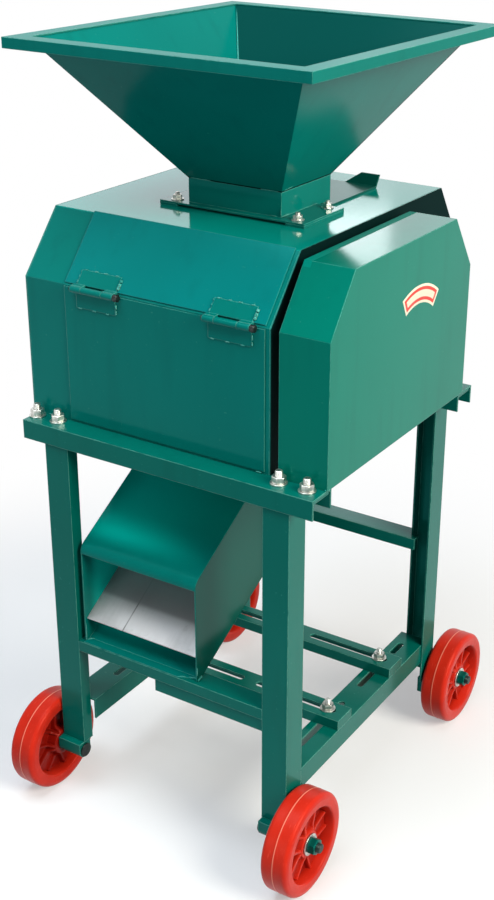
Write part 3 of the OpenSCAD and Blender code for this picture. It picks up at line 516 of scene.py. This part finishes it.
# One face of the wheel, as (radius, height) from the bore to the middle of the tread
# Web height = panel, raised to "ribTop" on the two ribs beside each spoke's centre line and to the hub near it
def wheelFace(hubHigh):
    s = wheelSizes
    ring = [(s["bore"], hubHigh - 1.4), (s["bore"] + 0.4, hubHigh - 1.0), (15.2, hubHigh - 1.0),
            (16.4, hubHigh - 0.8), (17.0, hubHigh - 0.15), (17.8, hubHigh), (21.0, hubHigh),
            (22.2, hubHigh - 0.4), (22.8, hubHigh - 1.3)]
    web = [(r, 0) for r in np.linspace(s["hub"], s["rimIn"], s["webRows"])]
    wall = [(58.6, 6.0), (59.2, 9.0), (60.0, 13.0), (60.9, 17.0),
            (62.0, 21.0), (62.8, 22.6), (64.2, 23.5), (66.0, 23.8)]
    side = [(70.0, 23.9), (73.4, 23.95), (74.2, 24.0), (76.0, 24.0), (76.6, 23.8)]
    shoulder = [(84.6 - 7.6 * (1 - math.sin(t)), 16.4 + 7.2 * math.cos(t))
                for t in np.linspace(0.12, math.pi / 2, 9)]
    tread = [(84.65, 12.0), (84.7, 7.0), (84.72, 2.2), (84.9, 1.0), (85.0, 0.45)]
    profile = np.array(ring + web + wall + side + shoulder + tread)
    radius, plain = profile[:, :1], profile[:, 1:]
    inWeb = np.zeros_like(radius)
    inWeb[len(ring):len(ring) + len(web)] = 1
    angle = turns(s["around"])
    pitch = 2 * np.pi / s["spokes"]
    off = (angle - math.radians(s["phase"]) + pitch / 2) % pitch - pitch / 2
    ahead = np.cos(off) > 0
    sideways = np.abs(radius * np.sin(off))
    fromRib = np.abs(sideways - s["ribOff"] * (0.55 + 0.45 * radius / s["rimIn"]))
    rib = 1 - ease(fromRib, s["ribWide"] / 2 - s["ribSoft"], s["ribWide"] / 2 + s["ribSoft"])
    panel = 1 - ease(sideways, s["ribOff"] * 0.8, s["ribOff"])
    floor = s["panelLow"] + (s["panelHigh"] - s["panelLow"]) * panel * ahead
    top = s["ribTop"] + (hubHigh - 1.5 - s["ribTop"]) * (1 - ease(radius, s["hub"], s["hub"] + 9))
    height = floor + (np.maximum(top, floor) - floor) * rib * ahead
    fillet = (hubHigh - 2.5 - height) * (1 - ease(radius, s["hub"], s["hub"] + 2.6))
    webHigh = np.maximum(height, height + fillet)
    return radius + 0 * angle, plain * (1 - inWeb) + webHigh * inWeb, angle


def makeWheel(name, x, depth):
    radiusOut, heightOut, angle = wheelFace(wheelSizes["hubOut"])
    radiusIn, heightIn, _ = wheelFace(wheelSizes["hubIn"])
    radius = np.vstack([radiusOut, radiusIn[::-1]])
    height = np.vstack([heightOut, -heightIn[::-1]])
    points = roundAxis(radius, height, angle, (x, depth, wheelSizes["radius"]), "x", 1 if x > 0 else -1)
    words = [part[letter] for part, letter in zip(wheelWords, name)]
    addPiece("moulded_wheel_" + name, [skinOf(points, closeRows=True)], "red_plastic", "wheel_" + name,
             ["_".join(["wheel", *words])])


for wheel, spot in wheelPlaces.items():
    makeWheel(wheel, *spot)
print("stage: four moulded wheels")


# Nuts, washers and threaded studs, from the sizes of the CAD nodes that they stand for

nutSizes = {"around": 96, "rows": 17, "bevel": 0.5, "cone": 0.485, "steep": 1.7}
washerSizes = {"around": 56, "edge": 0.35, "bevel": 0.3}
threadSizes = {"pitch": 1.75, "deep": 0.75, "perTurn": 8, "around": 40, "lead": 1.4, "play": 0.02, "start": 0.05}


# Radius = the lesser of the hexagon's, across / 2 / cos(angle off the flat), and a cone's at both ends
def hexNut(at, high, across, bore, axis="z", way=1, turn=0.0):
    s = nutSizes
    angle = turns(s["around"])
    flat = across / 2 / np.cos((angle + turn) % (np.pi / 3) - np.pi / 6)
    rise = column([s["bevel"], 0, 0, *np.linspace(0, high, s["rows"]), high, high, high - s["bevel"]])
    cone = across * s["cone"] + np.minimum(rise, high - rise) * s["steep"]
    outside = [0] * s["rows"]
    inner = column([1, 1, 0, *outside, 0, 1, 1])
    hole = column([bore, bore + s["bevel"], 0, *outside, 0, bore + s["bevel"], bore])
    radius = np.minimum(flat, cone) * (1 - inner) + hole * inner
    return skinOf(roundAxis(radius, rise, angle, at, axis, way), closeRows=True)


def washer(at, thick, outer, bore, axis="z", way=1):
    s = washerSizes
    profile = np.array([(bore, 0), (outer - s["edge"], 0), (outer, s["edge"]), (outer, thick - s["edge"]),
                        (outer - s["edge"], thick), (bore + s["bevel"], thick), (bore, thick - s["bevel"])])
    points = roundAxis(profile[:, :1], profile[:, 1:], turns(s["around"]), at, axis, way)
    return skinOf(points, closeRows=True)


# Radius falls by deep * |2 * frac(height / pitch - angle / full turn) - 1| on the thread, and tapers at its end
def threadedStud(at, low, high, radius, threadFrom, axis="z", way=1):
    s = threadSizes
    cut = np.arange(threadFrom + s["start"], high, s["pitch"] / s["perTurn"])
    rise = column([low, low, threadFrom, *cut, high, high])
    angle = turns(s["around"])
    wave = np.abs((rise / s["pitch"] - angle / (2 * np.pi)) % 1 - 0.5) * 2
    threaded = (rise > threadFrom) & (rise < high)
    size = radius - s["play"] - s["deep"] * wave * threaded
    size = np.minimum(size, radius - s["lead"] + (high - rise))
    size[[0, -1]] = 0
    return skinOf(roundAxis(size, rise, angle, at, axis, way))


# "stack" holds a bolt's washers, as (foot, thickness, radius), and nuts, as (foot, height, across flats, turn)
# "turns" gives how much further the nuts are turned at each place, and places are (across, depth)
boltKinds = {
    "frame": {"radius": 6, "low": 675, "high": 704, "threadFrom": 694, "bore": 5.9,
              "stack": (("washer", 683, 2.5, 13), ("nut", 685.5, 10, 19, 0.35)),
              "turns": (0, 0.5, 1, 1.5, 1, 1.5, 2, 2.5),
              "places": ((-256, 21), (-214, 21), (194, 21), (241, 21),
                         (-240, 494), (-205, 494), (205, 494), (241, 494))},
    "motor": {"radius": 5, "low": 167, "high": 216, "threadFrom": 207, "bore": 4.9,
              "stack": (("nut", 167, 7, 17, 0), ("washer", 174, 2, 11),
                        ("washer", 197, 2, 13), ("nut", 199, 9, 17, 0.4)),
              "turns": (0, 0, 0, 0),
              "places": ((-188.5, 189), (-188.5, 369), (188.5, 189), (188.5, 369))},
    "neck": {"radius": 4, "low": 992, "high": 1019, "threadFrom": 1015, "bore": 3.9,
             "stack": (("washer", 1007, 1.6, 10), ("nut", 1008.6, 6.4, 13, 0.2), ("nut", 992, 6, 13, 0)),
             "turns": (0, 0, 0, 0),
             "places": ((94, 228), (94, 315), (-126, 228), (-126, 315))},
}


def makeBolts(name, kind, stands):
    s, skins = boltKinds[kind], []
    for (x, depth), turn in zip(s["places"], s["turns"]):
        skins.append(threadedStud((x, depth, 0), s["low"], s["high"], s["radius"], s["threadFrom"]))
        for part, foot, high, across, *own in s["stack"]:
            if part == "washer":
                skins.append(washer((x, depth, foot), high, across, s["bore"]))
            else:
                skins.append(hexNut((x, depth, foot), high, across, s["bore"], turn=own[0] + turn))
    addPiece(name, skins, "zinc", "stand", [stands])


makeBolts("frame_nuts", "frame", "frame_bolts")
makeBolts("motor_bolts_zinc", "motor", "motor_rail_bolts")
makeBolts("neck_bolts_zinc", "neck", "neck_bolts")

# Distances along each axle are measured from the machine's middle
axleSizes = {"hubEnd": 267.5, "blockFront": 181, "blockRear": 213, "high": 85, "bolt": 8, "play": 0.3,
             "washer": (2.5, 18, 8), "nut": (12.5, 24, 8), "end": 22, "threadFrom": 14, "head": (3, 12, 0.01)}


def makeAxles():
    s = axleSizes
    washers, nuts, bolts = [], [], []
    for x, depth in wheelPlaces.values():
        way = 1 if x > 0 else -1
        inner = s["blockFront"] if depth < 100 else s["blockRear"]
        outer = s["hubEnd"] + s["play"]
        turn = 0.6 + depth * 0.01
        washers.append(washer((way * outer, depth, s["high"]), *s["washer"], "x", way))
        nuts.append(hexNut((way * (outer + s["washer"][0]), depth, s["high"]), *s["nut"], "x", way, turn=turn))
        bolts.append(threadedStud((0, depth, s["high"]), inner, s["hubEnd"] + s["end"], s["bolt"],
                                  s["hubEnd"] + s["threadFrom"], "x", way))
        bolts.append(washer((way * (inner - s["head"][0]), depth, s["high"]), *s["head"], "x", way))
    addPiece("axle_washers", washers, "zinc", "stand", ["axle_nuts"])
    addPiece("axle_hex_nuts", nuts, "cast_paint", "stand", ["axle_nuts"])
    addPiece("axle_studs", bolts, "dark_steel", "stand", ["axle_bolts"])


makeAxles()
print("stage: nuts, washers and studs")


# Weld metal: a bead along a line, half sunk in what it joins

beadSizes = {"radius": 1.7, "ripple": 0.28, "step": 1.3, "perStep": 5, "fewest": 9, "around": 12, "flat": 0.7,
             "aside": (0.3, 0.2, 0.93)}


# Centre = start + (end - start) * t
# Radius = r * sqrt(1 - (2t - 1)^6) * (1 + ripple * (|sin(pi * t * length / step)| - 0.5))
def weldBead(start, end, radius=beadSizes["radius"]):
    s = beadSizes
    start, end = np.array(start, dtype=float), np.array(end, dtype=float)
    long = np.linalg.norm(end - start)
    t = column(np.linspace(0, 1, max(s["fewest"], int(long / s["step"] * s["perStep"]))))
    side = np.cross((end - start) / long, s["aside"])
    side /= np.linalg.norm(side)
    up = np.cross(side, (end - start) / long)
    wave = np.abs(np.sin(np.pi * t * long / s["step"])) - 0.5
    size = radius * np.sqrt(np.clip(1 - (2 * t - 1) ** 6, 0, 1)) * (1 + s["ripple"] * wave)
    angle = turns(s["around"])
    points = (start + (end - start) * t)[:, None, :] + (size * np.cos(angle))[:, :, None] * side
    points = points + (size * s["flat"] * np.sin(angle))[:, :, None] * up
    points[:, :, 1] += legFace
    return skinOf(points * mm)


slopeSizes = {"front": 36.0, "knee": 906.0, "turn": math.atan2(78, 94)}


# Place on the sloped face: x across, "up" along the slope from the knee, "out" away from it
def onSlope(x, up, out):
    sin, cos = math.sin(slopeSizes["turn"]), math.cos(slopeSizes["turn"])
    return x, slopeSizes["front"] + up * sin - out * cos, slopeSizes["knee"] + up * cos + out * sin


hingeSizes = {"lefts": (-178, 62), "long": 80, "panel": 2.0, "leafTop": 28, "leafLow": 875, "doorFace": 33.7,
              "axisDepth": 27.4, "axisHigh": 905}
# From and to of each short bead: across along the leaves' long edges, up the slope and up the door at their ends
tackSizes = {"top": ((8, 15), (27, 33), (44, 51), (66, 72)), "left": ((6, 11), (15, 19), (23, 27)),
             "right": ((7, 12), (12, 18), (19, 24)), "low": ((7, 15), (34, 42), (60, 66)),
             "door": ((877, 883), (885, 893))}


def makeHingeWelds():
    s, tacks = hingeSizes, tackSizes
    slopeBeads, doorBeads = [], []
    out, outRight = s["panel"] + 0.6, s["panel"] + 1.2
    face, faceRight = s["doorFace"] - 0.7, s["doorFace"] - 0.9
    for x in s["lefts"]:
        left, right = x + 3.6, x + s["long"] - 1
        for low, high in tacks["top"]:
            slopeBeads.append(weldBead(onSlope(x + low, s["leafTop"] + 0.4, out),
                                       onSlope(x + high, s["leafTop"] + 0.6, out)))
        for low, high in tacks["left"]:
            slopeBeads.append(weldBead(onSlope(left, low, out), onSlope(left, high, out), 1.4))
        for low, high in tacks["right"]:
            slopeBeads.append(weldBead(onSlope(right, low, outRight),
                                       onSlope(right + 0.5, high, outRight), 2.4))
        for low, high in tacks["low"]:
            doorBeads.append(weldBead((x + low, face, s["leafLow"]), (x + high, face, s["leafLow"] - 0.3)))
        for low, high in tacks["door"]:
            doorBeads.append(weldBead((right, faceRight, low), (right, faceRight, high), 1.9))
    addPiece("hinge_welds_upper", slopeBeads, "weld_paint", "stand")
    addPiece("hinge_welds_door", doorBeads, "weld_paint", "door")


makeHingeWelds()

# Beads elsewhere: start, end, radius
specks = [
    # on the neck and at the neck's seam
    ((48, 224, 1008), (60, 224, 1008), 1.5), ((67.6, 226, 1008.5), (67.6, 246, 1008.5), 1.6),
    ((30, 224.2, 1046), (62, 224.2, 1046), 1.2), ((67.4, 230, 1047), (69.5, 252, 1050), 1.2),
    ((-98, 224.2, 1046), (-60, 224.2, 1046), 1.2), ((66.8, 224.4, 1010), (66.8, 224.4, 1020), 1.1),
    # along the casing's foot
    ((-262, 34.8, 684.4), (-251, 34.8, 684.4), 1.7), ((-244, 34.8, 684.2), (-238, 34.8, 684.2), 1.3),
    ((146, 34.8, 684.4), (156, 34.8, 684.4), 1.6), ((187, 33.8, 684.6), (197, 33.8, 684.6), 1.8),
    ((228, 33.8, 684.2), (236, 33.8, 684.2), 1.4), ((262, 34.2, 684), (265.4, 42, 684), 2.0),
    # down the hopper's rear left corner inside
    ((-252, 583.5, 1256), (-100.5, 369.5, 1047), 1.5),
    # at the chute's foot, on the cross rail and on the front top rail
    ((54.4, 8, 305.2), (54.4, 20, 309), 1.6), ((54.4, 7.6, 316), (54.4, 7.6, 330), 1.4),
    ((36, 10, 305.6), (48, 14, 305.6), 1.5), ((-168.6, 8, 305), (-168.6, 8, 336), 1.5),
    ((-168.4, 9, 306.6), (-160, 18, 306.8), 1.6), ((-212, -2.4, 682.4), (-200, -2.4, 682.4), 1.0),
    ((20.5, 1.4, 306.2), (32, 8, 306.2), 1.2), ((184.5, 36, 304.6), (184.5, 8, 304.6), 1.3),
    ((-184.5, 36, 304.6), (-184.5, 8, 304.6), 1.3),
]
addPiece("weld_specks", [weldBead(*speck) for speck in specks], "weld_paint", "stand")


# Hinge pins: a plain pin whose headed end is burnt black and lumpy from welding

pinSizes = {"radius": 3.5, "bevel": 0.5, "over": 3, "past": 1,
            "head": 6.1, "headLong": 8, "lump": 0.10, "around": 48}


# Radius = head * sqrt(1 - (2t - 1)^8) * (1 - lump * (0.5 + 0.5 * sin(3a + 2 + 4t) * cos(2a - 7t)))
# at the angle a round the pin and t of the head's length
def pinHead(at):
    s = pinSizes
    t = column(np.linspace(0, 1, 21))
    angle = turns(s["around"])
    size = s["head"] * np.sqrt(np.clip(1 - (2 * t - 1) ** 8, 0, 1))
    size = size * (1 - s["lump"] * (0.5 + 0.5 * np.sin(3 * angle + 2 + 4 * t) * np.cos(2 * angle - 7 * t)))
    return skinOf(roundAxis(size, t * s["headLong"], angle, at, "x"))


def makePins():
    s, hinge, skins = pinSizes, hingeSizes, []
    end = hinge["long"] + s["past"]
    size = column([0, s["radius"] - s["bevel"], s["radius"], s["radius"], 0])
    along = column([-s["over"], -s["over"], s["bevel"] - s["over"], end, end])
    for x in hinge["lefts"]:
        at = (x, hinge["axisDepth"], hinge["axisHigh"])
        skins.append(skinOf(roundAxis(size, along, turns(s["around"]), at, "x")))
        skins.append(pinHead((x + hinge["long"], *at[1:])))
    addPiece("hinge_pins_welded", skins, "burnt", "stand", ["hinge_pins"])


makePins()
print("stage: hinge pins and welds")


# Label on the guard, and the dust flap that hangs inside the chute's mouth

# Rows by radius, columns by angle from upright: depth = middle + r sin a, height = middle + r cos a
def makeLabel():
    s = labelSizes
    inner, outer, thick = s["inner"], s["outer"], s["thick"]
    radius = column([inner, inner + 0.3, inner + 14, outer - 0.3, outer, outer, inner])
    out = column([0.2, thick, thick, thick, 0.2, 0.02, 0.02])
    angle = np.radians(np.linspace(s["from"], s["to"], 40))[None, :]
    depth = s["middle"][0] + legFace + radius * np.sin(angle)
    high = s["middle"][1] + radius * np.cos(angle)
    skin = skinOf(np.stack([s["face"] + out + 0 * angle, depth, high], axis=-1) * mm, closeRows=True, closeColumns=False)
    addPiece("plain_label", [skin], "label", "stand")


makeLabel()

# "top" and "low" are depth and height
flapSizes = {"x": (-168.5, 51.5), "top": (66.0, 510.0), "low": (98.0, 406.5), "thick": 1.5, "sag": 5.0,
             "rows": 24, "columns": 30}


# Sheet hung from the hood: depth and height run from "top" to "low", pushed forward by sag * sin(pi t)
def makeFlap():
    s = flapSizes
    t = column(np.linspace(0, 1, s["rows"]))
    depth = s["top"][0] + (s["low"][0] - s["top"][0]) * t - s["sag"] * np.sin(np.pi * t)
    high = s["top"][1] + (s["low"][1] - s["top"][1]) * t
    profile = np.concatenate([np.hstack([depth, high]), np.hstack([depth + s["thick"], high])[::-1]])
    across = np.linspace(*s["x"], s["columns"])[None, :]
    x, y, z = np.broadcast_arrays(across, profile[:, :1] + legFace, profile[:, 1:])
    skin = skinOf(np.stack([x, y, z], axis=-1) * mm, closeRows=True, closeColumns=False)
    addPiece("chute_flap", [skin], "chute_paint", "stand")


makeFlap()


# Floor, light and camera

# "seen" is the floor's shade for the camera, "bounce" its shade for the light that it throws back
# For the camera it also glows white as painted light: "lift" of the glow everywhere, which lightens the shadow
# on it, rising to pure white glow between "fadeFrom" and "fadeTo", both in metres like "size"
floorSizes = {"size": 40.0, "seen": 0.94, "bounce": 0.34, "lift": 0.36, "fadeFrom": 0.62, "fadeTo": 1.35,
              "tint": (0.98, 0.98, 1.05)}


# Rays that show the background: 1 for the camera's and for those that metal and glass send out
def seenRays(tree):
    camera = graph(tree, "ShaderNodeLightPath", out="Is Camera Ray")
    path = camera.out.node
    glossy = Sock(tree, path.outputs["Is Glossy Ray"])
    through = Sock(tree, path.outputs["Is Transmission Ray"])
    share = camera + glossy + through
    return share.math("MINIMUM", share, 1.0)


def makeFloor():
    s = floorSizes
    mesh = bpy.data.meshes.new("floor")
    half = s["size"] / 2
    corners = [(-half, -half, 0), (half, -half, 0), (half, half, 0), (-half, half, 0)]
    mesh.from_pydata(corners, [], [(0, 1, 2, 3)])
    floor = bpy.data.objects.new("floor", mesh)
    bpy.context.collection.objects.link(floor)
    material, tree, shade = newSurface("floor", "ShaderNodeBsdfDiffuse")
    seen = seenRays(tree)
    level = seen * (s["seen"] - s["bounce"]) + s["bounce"]
    red, green, blue = s["tint"]
    tone = graph(tree, "ShaderNodeCombineColor", {},
                 {"Red": level * red, "Green": level * green, "Blue": level * blue})
    feed(tree, shade, {"Color": tone})
    glow = graph(tree, "ShaderNodeEmission", {}, {"Color": (1, 1, 1, 1), "Strength": 1.0})
    at = graph(tree, "ShaderNodeTexCoord", out="Object")
    far = vectorMath(tree, "LENGTH", at, out="Value")
    share = (band(tree, far, s["fadeFrom"], s["fadeTo"]) * (1 - s["lift"]) + s["lift"]) * seen
    both = graph(tree, "ShaderNodeMixShader", {}, {0: share, 1: Sock(tree, shade.outputs[0]), 2: glow})
    output = next(node for node in tree.nodes if node.type == "OUTPUT_MATERIAL")
    tree.links.new(both.out, output.inputs[0])
    mesh.materials.append(material)


lamps = {
    "high_right": {"at": (3.5, -0.55, 2.7), "aim": (0, 0, 0.75), "size": (1.9, 1.9), "power": 205,
                   "colour": (1.0, 0.965, 0.80)},
    "top": {"at": (-0.4, -0.9, 3.8), "aim": (0, 0, 0.8), "size": (2.2, 2.2), "power": 92,
            "colour": (0.86, 0.97, 1.0)},
    "front_low": {"at": (-0.7, -3.3, 0.95), "aim": (0, 0, 0.6), "size": (1.4, 1.0), "power": 12.5,
                  "colour": (0.93, 0.99, 1.0)},
    "behind": {"at": (-2.4, 3.7, 2.15), "aim": (0, 0, 0.9), "size": (3.0, 1.0), "power": 8.5,
               "colour": (0.82, 0.94, 1.0)},
    "behind_gate": {"at": (-1.75, 3.5, 2.14), "aim": (0, 0, 0.95), "size": (0.30, 0.22), "power": 0.9,
                    "colour": (0.95, 0.98, 1.0)},
}
worldLight = 0.20


def makeLamps():
    for name, s in lamps.items():
        data = bpy.data.lights.new(name, "AREA")
        data.shape, data.energy, data.color = "RECTANGLE", s["power"], s["colour"]
        data.size, data.size_y = s["size"]
        lamp = bpy.data.objects.new(name, data)
        lamp.location = s["at"]
        lamp.rotation_euler = (Vector(s["aim"]) - Vector(s["at"])).to_track_quat("-Z", "Y").to_euler()
        bpy.context.collection.objects.link(lamp)


# White for the rays that show it, and "worldLight" strong for all others
def makeWorld():
    world = bpy.data.worlds.new("studio")
    bpy.context.scene.world = world
    world.use_nodes = True
    tree = world.node_tree
    tree.nodes.clear()
    strength = seenRays(tree) * (1 - worldLight) + worldLight
    back = graph(tree, "ShaderNodeBackground", {}, {"Color": (1, 1, 1, 1), "Strength": strength})
    output = tree.nodes.new("ShaderNodeOutputWorld")
    tree.links.new(back.out, output.inputs[0])


# Fitted to the photograph: place and axes of the camera in metres, focal length and centre in its pixels
lens = {"at": (1.119544, -1.733193, 1.532619), "right": (0.857001, 0.515054, 0.016396),
        "down": (0.214669, -0.327901, -0.919999), "ahead": (-0.468473, 0.791959, -0.391578),
        "focal": 1360.55, "centre": (310.0, 415.0), "picture": (494, 900), "sensor": 36.0, "farthest": 60}


def makeCamera():
    s = lens
    data = bpy.data.cameras.new("camera")
    camera = bpy.data.objects.new("camera", data)
    bpy.context.collection.objects.link(camera)
    wide, high = s["picture"]
    long = max(wide, high)
    data.sensor_width, data.lens = s["sensor"], s["focal"] * s["sensor"] / long
    data.shift_x = (wide / 2 - s["centre"][0]) / long
    data.shift_y = (s["centre"][1] - high / 2) / long
    rows = [(s["right"][i], -s["down"][i], -s["ahead"][i], s["at"][i]) for i in range(3)]
    camera.matrix_world = Matrix(rows + [(0, 0, 0, 1)])
    data.clip_end = s["farthest"]
    bpy.context.scene.camera = camera


makeFloor()
makeLamps()
makeWorld()
makeCamera()
bpy.context.scene.view_settings.view_transform = "Standard"
print("stage: floor, lamps and camera")
